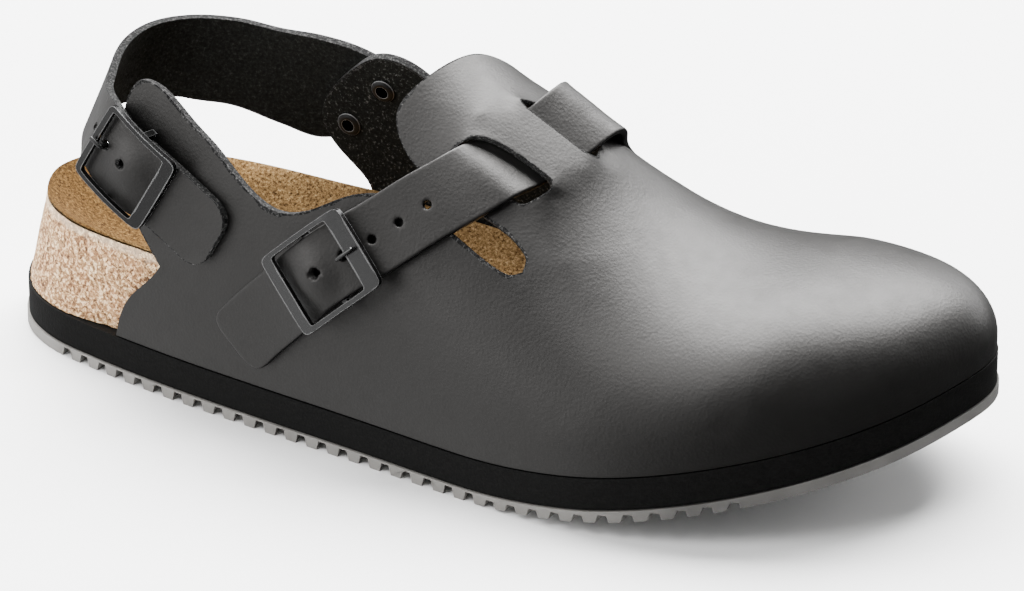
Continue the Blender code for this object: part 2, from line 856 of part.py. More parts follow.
def lying_row(spots, i, half, lift):
    """Row of points across a strap that lies on the upper, at one of its spots"""
    along, around = spots[i]
    before = face_point(*spots[max(0, i - 1)])
    after = face_point(*spots[min(len(spots) - 1, i + 1)])
    normal = face_normal(along, around)
    tangent = after - before
    tangent -= normal * tangent.dot(normal)
    tangent.normalize()
    side = normal.cross(tangent)
    row = []
    for share in ACROSS:
        direction = side * (1 if share > 0 else -1)
        a, b = walk(along, around, direction, abs(share) * half) if share else (along, around)
        b = min(0.97, max(-0.97, b))
        row.append(face_point(a, b) + face_normal(a, b) * lift(i, b))
    return row


class Band:
    """A strap's inner face: point and normal at a distance along and across it"""

    def __init__(self, rows):
        self.rows = rows
        middle = [row[2] for row in rows]
        self.at = [0.0]
        for a, b in zip(middle, middle[1:]):
            self.at.append(self.at[-1] + (b - a).length)
        self.length = self.at[-1]

    def inner(self, s, share):
        s = min(self.length, max(0.0, s))
        i = max(j for j in range(len(self.at) - 1) if self.at[j] <= s + 1e-12)
        t = (s - self.at[i]) / (self.at[i + 1] - self.at[i])
        row = []
        for j in range(len(ACROSS)):
            column_points = [r[j] for r in self.rows]
            row.append(between(column_points, i, t, False))
        place = (share + 1) / 0.5
        j = min(3, max(0, int(place)))
        return between(row, j, place - j, False)

    def frame(self, s, share):
        e = 0.001
        lo, hi = max(0.0, s - e), min(self.length, s + e)
        tangent = (self.inner(hi, share) - self.inner(lo, share)).normalized()
        a, b = max(-1.0, share - 0.1), min(1.0, share + 0.1)
        side = (self.inner(s, b) - self.inner(s, a)).normalized()
        normal = tangent.cross(side).normalized()
        return tangent, side, normal

    def point(self, s, share, height):
        return self.inner(s, share) + self.frame(s, share)[2] * height


def round_hole(s, w, radius, sides=10):
    turn = [2 * math.pi * k / sides for k in range(sides)]
    return [Vector((s + radius * math.cos(a), w + radius * math.sin(a))) for a in turn]


def strap(name, band, half, holes, round_start):
    """Leather strap along a band, with a rounded start, a plain end and punched holes"""
    corner = 0.0055
    outline = []
    edge = STRAP_STEP
    for k in range(5):
        angle = math.pi + (math.pi / 2) * k / 4
        radius = corner if round_start else 0.0006
        x = radius + radius * math.cos(angle)
        outline.append(Vector((x, -half + radius + radius * math.sin(angle))))
    pieces = max(1, round((band.length - corner) / edge))
    for k in range(1, pieces):
        outline.append(Vector((corner + (band.length - corner) * k / pieces, -half)))
    for k in range(6):
        outline.append(Vector((band.length, -half + 2 * half * k / 5)))
    for k in range(pieces - 1, 0, -1):
        outline.append(Vector((corner + (band.length - corner) * k / pieces, half)))
    for k in range(5):
        angle = math.pi / 2 + (math.pi / 2) * k / 4
        radius = corner if round_start else 0.0006
        x = radius + radius * math.cos(angle)
        outline.append(Vector((x, half - radius + radius * math.sin(angle))))
    for k in range(1, 4):
        w = (half - corner) * (1 - k / 2)
        outline.append(Vector((0.0, w)))
    return sheet(
        name,
        [outline] + holes,
        edge,
        lambda s, w: band.point(s, w / half, 0.0),
        lambda s, w: band.point(s, w / half, STRAP_LEATHER),
        STRAP,
    )


def line_spots(rows, step):
    """Spots a step apart on the upper's face, along a line given in pattern shares"""
    points = [Vector((row.along, row.around)) for row in rows]
    fine = []
    for i in range(len(points) - 1):
        fine += [between(points, i, k / 12, False) for k in range(12)]
    fine.append(points[-1])
    spots = [tuple(fine[0])]
    far = 0.0
    for a, b in zip(fine, fine[1:]):
        far += (face_point(*b) - face_point(*a)).length
        if far >= step:
            spots.append(tuple(b))
            far = 0.0
    return spots


INSTEP_ROW_STEP = 0.0026
spots = line_spots(INSTEP_LINE, INSTEP_ROW_STEP)
buckle_spot = face_point(INSTEP_BUCKLE.along, INSTEP_BUCKLE.around)
ROW_AT_BUCKLE = min(
    range(len(spots)), key=lambda i: (face_point(*spots[i]) - buckle_spot).length
)


def instep_lift(i, around):
    base = column(INSTEP_LIFT, "around", "lift", around) * STRAP_LEATHER
    s = (i - ROW_AT_BUCKLE) * INSTEP_ROW_STEP
    hump = STRAP_HUMP * math.exp(-((s / STRAP_HUMP_REACH) ** 2))
    return base + hump


instep_rows = [lying_row(spots, i, STRAP_WIDTH / 2, instep_lift) for i in range(len(spots))]
INSTEP = Band(instep_rows)


def heel_rows():
    """Rows across the heel strap: lateral ear, free loop, medial ear"""
    rows = []
    for table in (LATERAL_LIE, MEDIAL_LIE):
        places = [(row.along, row.around) for row in table]
        part = []
        for i, row in enumerate(table):
            half = HEEL_STRAP_WIDTH * row.width / 2
            lift = row.lift * STRAP_LEATHER
            part.append(lying_row(places, i, half, lambda _i, _b, lift=lift: lift))
        rows.append(part)
    centres = [
        Vector((row.along * LENGTH, row.side * BALL_WIDTH, row.height * INSTEP_HEIGHT))
        for row in FREE_LINE
    ]
    before = rows[0][-1][2]
    after = rows[1][0][2]
    line = [before] + centres + [after]
    free = []
    for i, row in enumerate(FREE_LINE):
        tangent = (line[i + 2] - line[i]).normalized()
        outwards = Vector((0, 0, 1)).cross(tangent).normalized()
        up = Vector((0, 0, 1)) - outwards * row.lean
        up -= tangent * up.dot(tangent)
        up.normalize()
        half = HEEL_STRAP_WIDTH * row.width / 2
        free.append([centres[i] - up * half * share for share in ACROSS])
    flat = Vector((0, 0, 1))
    for part in (rows[0], rows[1]):
        for k, row in enumerate(part):
            if (row[-1] - row[0]).dot(flat) > 0:
                part[k] = row[::-1]
    return rows[0] + free + rows[1]


HEEL = Band(heel_rows())


# Buckles: a flat frame with a plate bar, a centre bar under the strap, and a prong


def nearest(band, point):
    """Distance along a band's middle that is nearest to a point"""
    return min((band.length * k / 400 for k in range(401)),
               key=lambda s: (band.inner(s, 0.0) - point).length)


def rounded_box(x0, x1, y0, y1, radius, turns=3):
    """Box with round corners, its long sides divided so that they can bow"""
    corners = []
    for cx, cy, start in (
        (x1 - radius, y0 + radius, -0.5),
        (x1 - radius, y1 - radius, 0.0),
        (x0 + radius, y1 - radius, 0.5),
        (x0 + radius, y0 + radius, 1.0),
    ):
        for k in range(turns + 1):
            a = math.pi * (start + 0.5 * k / turns)
            corners.append(Vector((cx + radius * math.cos(a), cy + radius * math.sin(a))))
    loop = []
    for a, b in zip(corners, corners[1:] + corners[:1]):
        pieces = max(1, round(abs(b.x - a.x) / BUCKLE_STEP))
        loop += [a.lerp(b, k / pieces) for k in range(pieces)]
    return loop


def tube(name, path, radius, look, sides=8):
    """Round bar along a path of points in one plane, with flat ends"""
    points, faces = [], []
    for i, point in enumerate(path):
        before = (point - path[i - 1]).normalized() if i else None
        after = (path[i + 1] - point).normalized() if i < len(path) - 1 else None
        along = ((before or after) + (after or before)).normalized()
        plane = PLANE_NORMAL[0]
        out = along.cross(plane).normalized()
        stretch = 1.0
        if before and after:
            stretch = 1 / max(0.6, math.sqrt((1 + before.dot(after)) / 2))
        for k in range(sides):
            a = 2 * math.pi * k / sides
            points.append(
                point + out * (radius * stretch * math.cos(a)) + plane * radius * math.sin(a)
            )
    for i in range(len(path) - 1):
        for k in range(sides):
            a, b = i * sides + k, i * sides + (k + 1) % sides
            faces.append((a, b, b + sides, a + sides))
    faces.append(tuple(range(sides))[::-1])
    faces.append(tuple((len(path) - 1) * sides + k for k in range(sides)))
    return solid(name, points, faces, look)


PLANE_NORMAL = [Vector((0, 0, 1))]


def buckle(names, band, middle, half, length, far_bar):
    """Frame and prong that sit over a band round one place on it"""

    def bow(x):
        return BUCKLE_BOW * (1 - (2 * x / length) ** 2)

    near_x = -length / 2 + BUCKLE_PLATE_BAR / 2
    far_x = length / 2 - far_bar / 2
    p = band.point(middle + near_x, 0.0, STRAP_LEATHER)
    q = band.point(middle + far_x, 0.0, STRAP_LEATHER)
    along = (q - p).normalized()
    normal = band.frame(middle, 0.0)[2]
    normal = (normal - along * normal.dot(along)).normalized()
    across = normal.cross(along)
    origin = (p + q) / 2 - along * (near_x + far_x) / 2
    top = 0.0
    for bar_x, bar in ((near_x, BUCKLE_PLATE_BAR), (far_x, far_bar)):
        for i in range(7):
            s = middle + bar_x + bar * (i / 3 - 1)
            for share in (-1, -0.75, -0.5, -0.25, 0, 0.25, 0.5, 0.75, 1):
                height = (band.point(s, share, STRAP_LEATHER) - origin).dot(normal)
                height -= bow(min(abs(bar_x) + bar / 2, length / 2))
                off = abs((band.point(s, share, 0.0) - origin).dot(along) - bar_x)
                if off < bar / 2 + GAP:
                    top = max(top, height)
    origin = origin + normal * (top + GAP)

    def place(x, y, z):
        return origin + along * x + across * y + normal * z

    window = half
    for k in range(41):
        for share in (-1, 1):
            for height in (0.0, STRAP_LEATHER):
                spot = band.point(middle + (k / 40 - 0.5) * length, share, height) - origin
                over = spot.dot(normal) - bow(min(abs(spot.dot(along)), length / 2))
                if -GAP < over < BUCKLE_THICKNESS + GAP:
                    window = max(window, abs(spot.dot(across)))
    window += GAP
    outer = window + BUCKLE_BAR
    frame = sheet(
        names[0],
        [
            rounded_box(-length / 2, length / 2, -outer, outer, 0.0022),
            rounded_box(-length / 2 + BUCKLE_PLATE_BAR, length / 2 - far_bar, -window, window,
                        0.0010),
        ],
        1.0,
        lambda x, y: place(x, y, bow(x)),
        lambda x, y: place(x, y, bow(x) + BUCKLE_THICKNESS),
        METAL,
    )
    bar_top = 1.0
    for k in range(9):
        for i in (-1, 0, 1):
            spot = band.inner(middle + i * 0.0012, k / 4 - 1)
            bar_top = min(bar_top, (spot - origin).dot(normal) - GAP)
    bar_low = bar_top - 0.0014
    edge = window + 0.0003
    lift = bow(0.0) + BUCKLE_THICKNESS * 0.5
    profile = [
        (-outer + 0.0002, bar_low),
        (outer - 0.0002, bar_low),
        (outer - 0.0002, lift),
        (edge, lift),
        (edge, bar_top),
        (-edge, bar_top),
        (-edge, lift),
        (-outer + 0.0002, lift),
    ]
    count = len(profile)
    points = [place(x, y, z) for x in (-0.0009, 0.0009) for y, z in profile]
    faces = [(k, (k + 1) % count, (k + 1) % count + count, k + count) for k in range(count)]
    faces.append(tuple(range(count))[::-1])
    faces.append(tuple(k + count for k in range(count)))
    yoke = solid("centre_bar", points, faces, None)
    if bar_top < lift - 0.0002:
        cut(frame, yoke, "UNION")
    else:
        bpy.data.objects.remove(yoke, do_unlink=True)
    hole_x = length / 2 - far_bar - 0.0026
    under = (band.inner(middle + hole_x, 0.0) - origin).dot(normal) - GAP - PRONG_RADIUS
    rest = bow(length / 2 - far_bar) + BUCKLE_THICKNESS + GAP + PRONG_RADIUS
    bar_middle = (bar_top + bar_low) / 2
    start = 0.0009 + GAP + PRONG_RADIUS
    path = [
        place(0.0009 + GAP, 0, bar_middle),
        place(start + 0.0012, 0, bar_middle),
        place(hole_x - 0.0005, 0, under),
        place(hole_x, 0, under + 0.0006),
        place(hole_x, 0, rest - 0.0004),
        place(hole_x + 0.0005, 0, rest),
        place(length / 2 - far_bar * 0.25, 0, rest),
    ]
    PLANE_NORMAL[0] = across
    tube(names[1], path, PRONG_RADIUS, METAL)
    found = nearest(band, place(hole_x, 0, under + PRONG_RADIUS))
    return found


instep_middle = nearest(INSTEP, buckle_spot)
heel_middle = nearest(
    HEEL,
    Vector(
        (
            HEEL_BUCKLE.along * LENGTH,
            HEEL_BUCKLE.side * BALL_WIDTH,
            HEEL_BUCKLE.height * INSTEP_HEIGHT,
        )
    ),
)
instep_hole = buckle(
    ("instep_buckle", "instep_prong"),
    INSTEP,
    instep_middle,
    STRAP_WIDTH / 2,
    INSTEP_BUCKLE_LENGTH,
    INSTEP_FAR_BAR,
)
heel_hole = buckle(
    ("heel_buckle", "heel_prong"),
    HEEL,
    heel_middle,
    HEEL_STRAP_WIDTH / 2,
    HEEL_BUCKLE_LENGTH,
    HEEL_FAR_BAR,
)

instep_holes = [round_hole(instep_hole, 0.0, HOLE_RADIUS * 1.25)]
for k in (-1, 1, 2, 3):
    instep_holes.append(round_hole(instep_hole + k * HOLE_PITCH, 0.0, HOLE_RADIUS))
heel_holes = [round_hole(heel_hole, 0.0, HOLE_RADIUS * 1.25)]
for k in (-1, 1):
    heel_holes.append(round_hole(heel_hole + k * HOLE_PITCH * 0.8, 0.0, HOLE_RADIUS))
instep_strap = strap("instep_strap", INSTEP, STRAP_WIDTH / 2, instep_holes, True)
heel_strap = strap("heel_strap", HEEL, HEEL_STRAP_WIDTH / 2, heel_holes, True)

# Tubular rivets through the medial ear and the heel strap


def axis_frame(origin, axis):
    side = axis.cross(Vector((0, 0, 1))).normalized()
    return origin, side, side.cross(axis)


def lathe(name, origin, axis, profile, look, sides=20):
    """Ring turned round an axis from a closed profile of radius and height"""
    start, side, up = axis_frame(origin, axis)
    points, faces = [], []
    count = len(profile)
    for k in range(sides):
        a = 2 * math.pi * k / sides
        out = side * math.cos(a) + up * math.sin(a)
        points += [start + out * r + axis * h for r, h in profile]
    for k in range(sides):
        n = (k + 1) % sides
        for i in range(count):
            j = (i + 1) % count
            faces.append((k * count + i, n * count + i, n * count + j, k * count + j))
    return solid(name, points, faces, look)


def pin(origin, axis, radius, low, high, sides=14):
    """Round cutter along an axis"""
    start, side, up = axis_frame(origin, axis)
    points = []
    for h in (low, high):
        for k in range(sides):
            a = 2 * math.pi * k / sides
            points.append(start + (side * math.cos(a) + up * math.sin(a)) * radius + axis * h)
    faces = [(k, (k + 1) % sides, (k + 1) % sides + sides, k + sides) for k in range(sides)]
    faces.append(tuple(range(sides))[::-1])
    faces.append(tuple(k + sides for k in range(sides)))
    return solid("pin_cutter", points, faces, None)


for rivet_name, rivet_along, rivet_around in RIVETS:
    origin = face_point(rivet_along, rivet_around)
    axis = face_normal(rivet_along, rivet_around)
    high, low = -1.0, 1.0
    middle = nearest(HEEL, origin)
    for i in range(-12, 13):
        for j in range(-10, 11):
            spot = HEEL.point(middle + i * 0.0008, j / 10, STRAP_LEATHER) - origin
            if (spot - axis * spot.dot(axis)).length < RIVET_FLANGE + 0.0004:
                high = max(high, spot.dot(axis))
    for i in range(-8, 9):
        for j in range(-8, 9):
            a, b = rivet_along + i * 0.002, rivet_around + j * 0.008
            spot = upper_point(a, b, -UPPER_LEATHER) - origin
            if (spot - axis * spot.dot(axis)).length < RIVET_FLANGE + 0.0004:
                low = min(low, spot.dot(axis))
    cut(upper, pin(origin, axis, RIVET_BARREL + GAP, -0.006, 0.006))
    cut(heel_strap, pin(origin, axis, RIVET_BARREL + GAP, -0.004, 0.012))
    low -= GAP
    high += GAP
    lathe(
        rivet_name,
        origin,
        axis,
        [
            (RIVET_BORE, low - RIVET_SHEET * 1.5),
            (RIVET_FLANGE * 0.62, low - RIVET_SHEET * 1.5),
            (RIVET_FLANGE, low - RIVET_SHEET * 0.4),
            (RIVET_FLANGE, low),
            (RIVET_BARREL, low),
            (RIVET_BARREL, high),
            (RIVET_FLANGE, high),
            (RIVET_FLANGE, high + RIVET_SHEET * 0.4),
            (RIVET_FLANGE * 0.62, high + RIVET_SHEET * 1.5),
            (RIVET_BORE, high + RIVET_SHEET * 1.5),
        ],
        RIVET,
    )

# Put the middle of the whole clog's outline over the origin

made = [o for o in bpy.context.scene.objects if o.type == "MESH"]
for axis_number in (0, 1):
    values = [v.co[axis_number] for o in made for v in o.data.vertices]
    middle = (min(values) + max(values)) / 2
    for o in made:
        for v in o.data.vertices:
            v.co[axis_number] -= middle
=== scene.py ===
# Finish of a back-strap clog: black leather on a cork bed over a foam sole

from collections import namedtuple
import json
import math

import bmesh
import bpy
from mathutils import Matrix, Vector

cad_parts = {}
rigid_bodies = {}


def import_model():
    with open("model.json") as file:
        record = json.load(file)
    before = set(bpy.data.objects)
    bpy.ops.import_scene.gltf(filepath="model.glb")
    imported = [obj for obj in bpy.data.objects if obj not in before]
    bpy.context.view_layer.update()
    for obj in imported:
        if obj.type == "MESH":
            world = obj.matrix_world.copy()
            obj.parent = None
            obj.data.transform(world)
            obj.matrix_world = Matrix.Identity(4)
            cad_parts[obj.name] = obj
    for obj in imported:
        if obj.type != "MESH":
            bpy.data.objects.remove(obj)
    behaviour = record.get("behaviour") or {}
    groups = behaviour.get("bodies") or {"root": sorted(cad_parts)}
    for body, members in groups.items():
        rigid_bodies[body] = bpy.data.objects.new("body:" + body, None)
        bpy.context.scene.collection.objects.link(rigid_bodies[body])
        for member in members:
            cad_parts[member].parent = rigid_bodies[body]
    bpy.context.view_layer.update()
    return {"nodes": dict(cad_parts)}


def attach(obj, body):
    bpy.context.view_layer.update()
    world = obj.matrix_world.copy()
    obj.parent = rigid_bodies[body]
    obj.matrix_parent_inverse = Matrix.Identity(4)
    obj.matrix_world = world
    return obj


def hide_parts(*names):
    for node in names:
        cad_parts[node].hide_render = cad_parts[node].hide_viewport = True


for left_over in list(bpy.data.objects):
    bpy.data.objects.remove(left_over)

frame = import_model()


# Camera: long lens from the near side, a little above

AIM = Vector((-0.0025, 0.0028, 0.040))
TURN = math.radians(26.0)
RISE = math.radians(27.5)
DISTANCE = 1.815
ASIDE = 0.0091
DOWN = -0.0066
LENS = 234.14
SENSOR = 36.0
FAR_CLIP = 50.0


def set_camera():
    """Sets the camera that looks at the near side"""
    back = Vector((math.sin(TURN) * math.cos(RISE), -math.cos(TURN) * math.cos(RISE), math.sin(RISE)))
    right = Vector((math.cos(TURN), math.sin(TURN), 0.0))
    up = back.cross(right)
    view = bpy.data.cameras.new("camera")
    view.lens = LENS
    view.sensor_width = SENSOR
    view.clip_end = FAR_CLIP
    camera = bpy.data.objects.new("camera", view)
    bpy.context.scene.collection.objects.link(camera)
    turned = Matrix(
        (
            (right.x, up.x, back.x, 0.0),
            (right.y, up.y, back.y, 0.0),
            (right.z, up.z, back.z, 0.0),
            (0.0, 0.0, 0.0, 1.0),
        )
    )
    camera.matrix_world = Matrix.Translation(AIM + back * DISTANCE + right * ASIDE + up * DOWN) @ turned
    bpy.context.scene.camera = camera


set_camera()


# Materials


class Look:
    """A finish built from nodes on Object coordinates, in metres"""

    def __init__(self, name, colour, roughness):
        self.material = bpy.data.materials.new(name)
        self.material.use_nodes = True
        self.tree = self.material.node_tree
        self.shader = self.tree.nodes["Principled BSDF"]
        self.shader.inputs["Base Color"].default_value = (*colour, 1.0)
        self.shader.inputs["Roughness"].default_value = roughness
        self.place = self.tree.nodes.new("ShaderNodeTexCoord").outputs["Object"]
        self.bumped = None

    def set(self, **values):
        """Sets sockets of the shader, a space in a socket's name written as _"""
        for key, value in values.items():
            self.shader.inputs[key.replace("_", " ")].default_value = value

    def drive(self, socket, value):
        """Links a pattern to a socket of the shader"""
        self.tree.links.new(value, self.shader.inputs[socket])

    def noise(self, scale, detail=3.0, roughness=0.55, distortion=0.0):
        """Cloudy pattern, its scale per metre"""
        node = self.tree.nodes.new("ShaderNodeTexNoise")
        node.inputs["Scale"].default_value = scale
        node.inputs["Detail"].default_value = detail
        node.inputs["Roughness"].default_value = roughness
        node.inputs["Distortion"].default_value = distortion
        self.tree.links.new(self.place, node.inputs["Vector"])
        return node.outputs["Fac"]

    def cells(self, scale, output="Distance"):
        """Pattern of cells, its scale per metre"""
        node = self.tree.nodes.new("ShaderNodeTexVoronoi")
        node.inputs["Scale"].default_value = scale
        self.tree.links.new(self.place, node.inputs["Vector"])
        return node.outputs[output]

    def place_along(self, axis):
        """Place along an axis of the clog, in metres"""
        node = self.tree.nodes.new("ShaderNodeSeparateXYZ")
        self.tree.links.new(self.place, node.inputs["Vector"])
        return node.outputs[axis]

    def ramp(self, value, stops):
        """Colours or greys between named positions of a value"""
        node = self.tree.nodes.new("ShaderNodeValToRGB")
        while len(node.color_ramp.elements) < len(stops):
            node.color_ramp.elements.new(1.0)
        for element, (position, colour) in zip(node.color_ramp.elements, stops):
            element.position = position
            colour = colour if isinstance(colour, tuple) else (colour, colour, colour)
            element.color = (*colour, 1.0)
        self.tree.links.new(value, node.inputs["Fac"])
        return node.outputs["Color"]

    def reckon(self, kind, first, second):
        """Sum or product of two values, each a number or a pattern"""
        node = self.tree.nodes.new("ShaderNodeMath")
        node.operation = kind
        for socket, value in zip(node.inputs, (first, second)):
            if isinstance(value, (int, float)):
                socket.default_value = value
            else:
                self.tree.links.new(value, socket)
        return node.outputs[0]

    def mix(self, kind, amount, first, second):
        """Blend of two colours"""
        node = self.tree.nodes.new("ShaderNodeMix")
        node.data_type = "RGBA"
        node.blend_type = kind
        node.clamp_result = True
        for socket, value in ((node.inputs[0], amount), (node.inputs[6], first), (node.inputs[7], second)):
            if isinstance(value, (int, float)):
                socket.default_value = value
            elif isinstance(value, tuple):
                socket.default_value = (*value, 1.0)
            else:
                self.tree.links.new(value, socket)
        return node.outputs[2]

    def bump(self, height, depth, strength=1.0):
        """Relief, its depth in metres, on top of the relief so far"""
        node = self.tree.nodes.new("ShaderNodeBump")
        node.inputs["Strength"].default_value = strength
        node.inputs["Distance"].default_value = depth
        self.tree.links.new(height, node.inputs["Height"])
        if self.bumped is not None:
            self.tree.links.new(self.bumped, node.inputs["Normal"])
        self.bumped = node.outputs["Normal"]
        self.tree.links.new(self.bumped, self.shader.inputs["Normal"])


def leather(name):
    """Smooth waxed leather: fine grain, faint cloudiness, soft gloss"""
    look = Look(name, colour=(0.0024, 0.0024, 0.0023), roughness=0.46)
    deep = (0.0019, 0.0018, 0.0017)
    faded = (0.0029, 0.0028, 0.0026)
    cloud = look.noise(scale=28.0)
    look.drive("Base Color", look.ramp(cloud, ((0.3, deep), (0.7, faded))))
    patch = look.noise(scale=220.0, detail=4.0)
    look.drive("Roughness", look.ramp(patch, ((0.25, 0.43), (0.75, 0.51))))
    look.bump(look.cells(scale=1150.0), depth=0.00010, strength=0.35)
    look.bump(look.noise(scale=900.0, roughness=0.6), depth=0.00012, strength=0.30)
    look.bump(look.noise(scale=75.0, detail=2.0), depth=0.0006, strength=0.06)
    look.set(IOR=1.43, Specular_Tint=(1.0, 0.972, 0.950, 1.0))
    return look.material


def raw_edge(name):
    """Cut edge of the hide: dark fibres with pale specks"""
    look = Look(name, colour=(0.03, 0.03, 0.03), roughness=0.95)
    fibre = look.noise(scale=1500.0, roughness=0.75)
    look.drive("Base Color", look.ramp(fibre, ((0.40, 0.002), (0.52, 0.010), (0.68, (0.07, 0.069, 0.067)))))
    look.bump(fibre, depth=0.0004, strength=0.8)
    look.set(Specular_IOR_Level=0.2)
    return look.material


def flesh(name, speck):
    """Inner side of the hide: black nap with paler specks"""
    look = Look(name, colour=(0.005, 0.005, 0.005), roughness=1.0)
    hollow = (0.0044, 0.0047, 0.0041)
    fibre = (0.0115, 0.0122, 0.0108)
    tip = (speck, speck, speck * 0.95)
    nap = look.noise(scale=1100.0, detail=4.0, roughness=0.75)
    look.drive("Base Color", look.ramp(nap, ((0.40, hollow), (0.58, fibre), (0.72, tip))))
    look.bump(nap, depth=0.0005, strength=0.6)
    look.set(Specular_IOR_Level=0.1)
    return look.material


def cork(name):
    """Pressed cork: pale crumb with brown pits, chalky below the lining"""
    look = Look(name, colour=(0.6, 0.44, 0.34), roughness=0.9)
    pit = (0.070, 0.034, 0.016)
    dark_crumb = (0.24, 0.130, 0.062)
    crumb = (0.40, 0.250, 0.130)
    pale_crumb = (0.78, 0.61, 0.40)
    chalky = (0.60, 0.50, 0.37)
    grain = look.noise(scale=980.0, roughness=0.60, distortion=0.7)
    shade = look.ramp(grain, ((0.35, pit), (0.44, dark_crumb), (0.53, crumb), (0.63, pale_crumb)))
    tint = look.ramp(
        look.cells(scale=260.0, output="Color"),
        ((0.0, (0.84, 0.68, 0.56)), (0.5, (1.0, 0.92, 0.82)), (1.0, (1.0, 1.0, 0.92))),
    )
    tone = look.mix("MULTIPLY", 0.8, shade, tint)
    ragged_by = look.reckon("MULTIPLY", look.noise(scale=330.0, detail=4.0, roughness=0.7), 0.0052)
    ragged_height = look.reckon("ADD", look.place_along("Z"), ragged_by)
    # Above about 38 mm the crumb is chalky, with a ragged lower limit
    chalk = look.ramp(look.reckon("MULTIPLY", ragged_height, 10.0), ((0.394, 0.0), (0.408, 0.38)))
    look.drive("Base Color", look.mix("MIX", chalk, tone, chalky))
    look.bump(grain, depth=0.0009, strength=0.8)
    look.bump(look.noise(scale=1900.0, roughness=0.7), depth=0.0003, strength=0.5)
    look.set(Specular_IOR_Level=0.3)
    return look.material


def tan_suede(name):
    """Bed lining: ochre nap with darker flecks; painted shade darkens it in the open heel, painted light
    makes it paler under the vamp
    """
    look = Look(name, colour=(0.42, 0.27, 0.14), roughness=0.95)
    fleck = (0.060, 0.027, 0.010)
    brown = (0.27, 0.158, 0.066)
    ochre = (0.44, 0.275, 0.120)
    pale = (0.80, 0.55, 0.28)
    nap = look.noise(scale=1250.0, detail=4.0, roughness=0.75)
    tan = look.ramp(nap, ((0.36, fleck), (0.46, brown), (0.56, ochre), (0.68, pale)))
    # 0 at the heel, 0.85 at the middle of the clog
    towards_toe = look.reckon("ADD", look.reckon("MULTIPLY", look.place_along("X"), 6.0), 0.85)
    # Painted shade in the open heel, fading to painted light towards the middle, under the vamp
    painted_shade_to_light = look.ramp(
        towards_toe,
        (
            (0.04, (0.20, 0.17, 0.115)),
            (0.20, (0.285, 0.25, 0.185)),
            (0.38, (0.46, 0.45, 0.42)),
            (0.66, (0.46, 0.46, 0.45)),
            (0.85, 1.0),
        ),
    )
    look.drive("Base Color", look.mix("MULTIPLY", 1.0, tan, painted_shade_to_light))
    look.bump(nap, depth=0.0004, strength=0.6)
    look.set(Specular_IOR_Level=0.08)
    return look.material


def foam(name):
    """Black foam of the midsole, very fine skin"""
    look = Look(name, colour=(0.002, 0.002, 0.002), roughness=0.75)
    deep = (0.0006, 0.0006, 0.0005)
    faded = (0.0032, 0.0032, 0.0028)
    skin = look.noise(scale=1300.0, roughness=0.7)
    look.drive("Base Color", look.ramp(skin, ((0.38, deep), (0.72, faded))))
    look.bump(skin, depth=0.0003, strength=0.5)
    look.set(Specular_IOR_Level=0.12)
    return look.material


def rubber(name):
    """Light grey outsole rubber, with painted shade darkening it towards the toe"""
    look = Look(name, colour=(0.17, 0.165, 0.155), roughness=0.7)
    tint = look.noise(scale=90.0)
    grey = look.ramp(tint, ((0.3, (0.150, 0.143, 0.132)), (0.7, (0.195, 0.188, 0.175))))
    # Painted shade: full grey up to 24 mm ahead of the middle, darkest from 84 mm
    toe = look.ramp(look.reckon("MULTIPLY", look.place_along("X"), 5.0), ((0.12, 1.0), (0.42, 0.28)))
    look.drive("Base Color", look.mix("MULTIPLY", 1.0, grey, toe))
    look.bump(look.noise(scale=1600.0), depth=0.0002, strength=0.3)
    return look.material


def lacquer(name, gloss, grey=0.0025, shine=0.5):
    """Paint on metal: roughness, grey and strength of the reflection"""
    look = Look(name, colour=(grey, grey, grey), roughness=gloss)
    peel = look.noise(scale=500.0, detail=2.0)
    look.drive("Roughness", look.ramp(peel, ((0.3, gloss - 0.03), (0.7, gloss + 0.05))))
    look.bump(peel, depth=0.00006, strength=0.15)
    look.set(IOR=1.5, Specular_IOR_Level=shine)
    return look.material


HIDE = leather("black_leather")
EDGE = raw_edge("leather_edge")
FLESH = flesh("leather_inner_side", speck=0.13)
SMOOTH_FLESH = flesh("strap_inner_side", speck=0.030)
CORK = cork("cork")
SUEDE = tan_suede("tan_suede")
FOAM = foam("black_foam")
RUBBER = rubber("grey_rubber")
PAINT = lacquer("black_lacquer", gloss=0.20)
# A lighter, rougher lacquer for the buckles' bevelled rims: painted highlight
PAINTED_RIM_HIGHLIGHT = lacquer("painted_rim_highlight", gloss=0.28, grey=0.05)
# A darker, less reflective copy of the black lacquer for the heel buckle and its prong: painted shade
SHADED_LACQUER = lacquer("lacquer_painted_shade", gloss=0.22, grey=0.0015, shine=0.28)
DULL = lacquer("dull_lacquer", gloss=0.42, grey=0.004, shine=0.22)
# A lighter lacquer for the rivets' bevelled rims: painted highlight rings
PAINTED_RING_HIGHLIGHT = lacquer("painted_ring_highlight", gloss=0.30, grey=0.14)
# Near-black lacquer without reflection for the inside of the rivets' bores: painted shade
PAINTED_BORE_SHADE = lacquer("bore_painted_shade", gloss=0.90, grey=0.0004, shine=0.0)


# Tools: each works on one piece

MERGE = 0.00002
QUAD_TURN = 0.6
QUAD_SHAPE = 0.7
SIDE_TURN = math.radians(45.0)
RIM_TURN_MORE = 10.0
TROUGH_BACK_END = -0.3
OUTER, INNER, RIM = 0, 1, 2


def only(piece):
    """Makes this piece the one that the next operators work on"""
    bpy.ops.object.select_all(action="DESELECT")
    piece.select_set(True)
    bpy.context.view_layer.objects.active = piece


def apply(piece, kind, **settings):
    """Adds a modifier and applies it"""
    only(piece)
    modifier = piece.modifiers.new(kind.lower(), kind)
    for key, value in settings.items():
        setattr(modifier, key, value)
    bpy.ops.object.modifier_apply(modifier=modifier.name)


